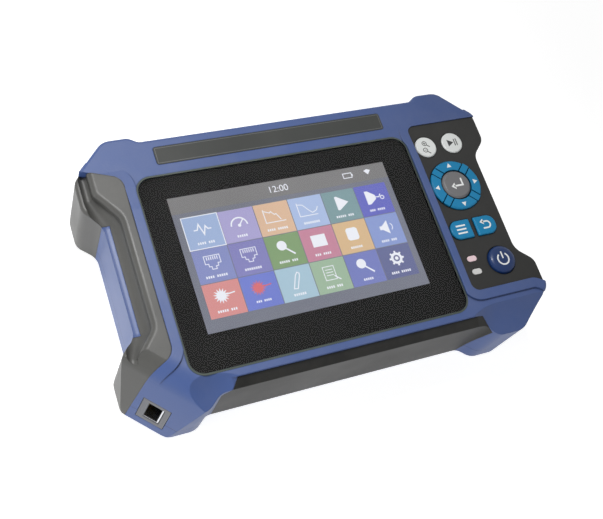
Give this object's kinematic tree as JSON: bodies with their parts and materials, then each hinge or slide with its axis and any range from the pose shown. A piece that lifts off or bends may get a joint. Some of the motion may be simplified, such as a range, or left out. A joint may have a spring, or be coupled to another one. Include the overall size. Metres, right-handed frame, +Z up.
{
  "type": "optical time domain reflectometer",
  "caption": "Handheld optical time domain reflectometer: colour screen, keypad with direction ring, rubber grips, corner network socket, shuttered fibre ports and fold-out stand.",
  "frame": {"origin": "on the table, under the middle of the case", "axes": "+X runs to the right along the screen, +Y away from the user towards the fibre ports, +Z up"},
  "size_m": [0.204, 0.128, 0.0466],
  "materials": {
    "blue_plastic": "fine moulded grain, satin",
    "grip_rubber": "fine moulded grain, matt",
    "keypad_rubber": "smooth, matt",
    "bumper_rubber": "smooth, matt",
    "strip_plastic": "smooth, satin",
    "cover_glass": "polished",
    "display": "smooth, lit from behind",
    "teal_key": "smooth, satin",
    "pale_key": "smooth, satin",
    "grey_key": "smooth, satin",
    "power_key": "smooth, satin",
    "lens": "milky, smooth",
    "inner_rubber": "moulded",
    "circuit_board": "solder mask",
    "grey_plastic": "fine moulded grain",
    "black_plastic": "moulded",
    "gold_contact": "plated",
    "socket_metal": "plated",
    "adapter_metal": "turned",
    "steel": "bright",
    "module_metal": "satin",
    "fibre": "smooth",
    "battery_wrap": "shrink film",
    "foot_rubber": "matt"
  },
  "bodies": {
    "root": {"front_shell": "blue_plastic", "rear_shell": "blue_plastic", "left_grip": "grip_rubber", "keypad_grip": "keypad_rubber", "near_bumper_bar": "bumper_rubber", "name_strip": "strip_plastic", "screen_glass": "cover_glass", "screen_gasket": "strip_plastic", "display_module": "display", "ring_dividers": "teal_key", "status_lenses": "lens", "keypad_mat": "inner_rubber", "keypad_board": "circuit_board", "network_insert": "grey_plastic", "network_jack": "black_plastic", "jack_contacts": "gold_contact", "reflectometer_adapter": "adapter_metal", "laser_adapter": "adapter_metal", "meter_adapter": "adapter_metal", "charge_socket": "socket_metal", "door_pins": "steel", "main_board": "circuit_board", "optical_module": "module_metal", "fibre_coil": "fibre", "battery_pack": "battery_wrap", "battery_door": "blue_plastic", "door_screws": "steel", "case_screws": "steel", "feet": "foot_rubber", "stand_pin": "steel"},
    "key_zoom": {"key_zoom": "pale_key"},
    "key_run": {"key_run": "pale_key"},
    "key_right": {"key_right": "teal_key"},
    "key_up": {"key_up": "teal_key"},
    "key_left": {"key_left": "teal_key"},
    "key_down": {"key_down": "teal_key"},
    "key_enter": {"key_enter": "grey_key"},
    "key_menu": {"key_menu": "teal_key"},
    "key_back": {"key_back": "teal_key"},
    "key_power": {"key_power": "power_key"},
    "reflectometer_door": {"reflectometer_door": "black_plastic"},
    "laser_door": {"laser_door": "black_plastic"},
    "meter_door": {"meter_door": "black_plastic"},
    "charge_door": {"charge_door": "black_plastic"},
    "stand": {"stand": "black_plastic"}
  },
  "joints": [
    {"name": "key_zoom_press", "type": "slide", "parent": "root", "child": "key_zoom", "axis": [0, 0, -1], "range_m": [0, 0.0006], "stiffness_N_per_m": 400, "springref_m": -0.0003},
    {"name": "key_run_press", "type": "slide", "parent": "root", "child": "key_run", "axis": [0, 0, -1], "range_m": [0, 0.0006], "stiffness_N_per_m": 400, "springref_m": -0.0003},
    {"name": "key_right_press", "type": "slide", "parent": "root", "child": "key_right", "axis": [0, 0, -1], "range_m": [0, 0.0006], "stiffness_N_per_m": 400, "springref_m": -0.0003},
    {"name": "key_up_press", "type": "slide", "parent": "root", "child": "key_up", "axis": [0, 0, -1], "range_m": [0, 0.0006], "stiffness_N_per_m": 400, "springref_m": -0.0003},
    {"name": "key_left_press", "type": "slide", "parent": "root", "child": "key_left", "axis": [0, 0, -1], "range_m": [0, 0.0006], "stiffness_N_per_m": 400, "springref_m": -0.0003},
    {"name": "key_down_press", "type": "slide", "parent": "root", "child": "key_down", "axis": [0, 0, -1], "range_m": [0, 0.0006], "stiffness_N_per_m": 400, "springref_m": -0.0003},
    {"name": "key_enter_press", "type": "slide", "parent": "root", "child": "key_enter", "axis": [0, 0, -1], "range_m": [0, 0.0006], "stiffness_N_per_m": 400, "springref_m": -0.0003},
    {"name": "key_menu_press", "type": "slide", "parent": "root", "child": "key_menu", "axis": [0, 0, -1], "range_m": [0, 0.0006], "stiffness_N_per_m": 400, "springref_m": -0.0003},
    {"name": "key_back_press", "type": "slide", "parent": "root", "child": "key_back", "axis": [0, 0, -1], "range_m": [0, 0.0006], "stiffness_N_per_m": 400, "springref_m": -0.0003},
    {"name": "key_power_press", "type": "slide", "parent": "root", "child": "key_power", "axis": [0, 0, -1], "range_m": [0, 0.0006], "stiffness_N_per_m": 400, "springref_m": -0.0003},
    {"name": "reflectometer_door_hinge", "type": "hinge", "parent": "root", "child": "reflectometer_door", "pos_m": [-0.036, 0.0598, 0.0312], "axis": [1, 0, 0], "range_deg": [0, 110]},
    {"name": "laser_door_hinge", "type": "hinge", "parent": "root", "child": "laser_door", "pos_m": [-0.012, 0.0598, 0.0312], "axis": [1, 0, 0], "range_deg": [0, 110]},
    {"name": "meter_door_hinge", "type": "hinge", "parent": "root", "child": "meter_door", "pos_m": [0.012, 0.0598, 0.0312], "axis": [1, 0, 0], "range_deg": [0, 110]},
    {"name": "charge_door_hinge", "type": "hinge", "parent": "root", "child": "charge_door", "pos_m": [0.04, 0.0598, 0.0312], "axis": [1, 0, 0], "range_deg": [0, 110]},
    {"name": "stand_hinge", "type": "hinge", "parent": "root", "child": "stand", "pos_m": [0, 0.0425, 0.0034], "axis": [1, 0, 0], "range_deg": [0, 65]}
  ]
}
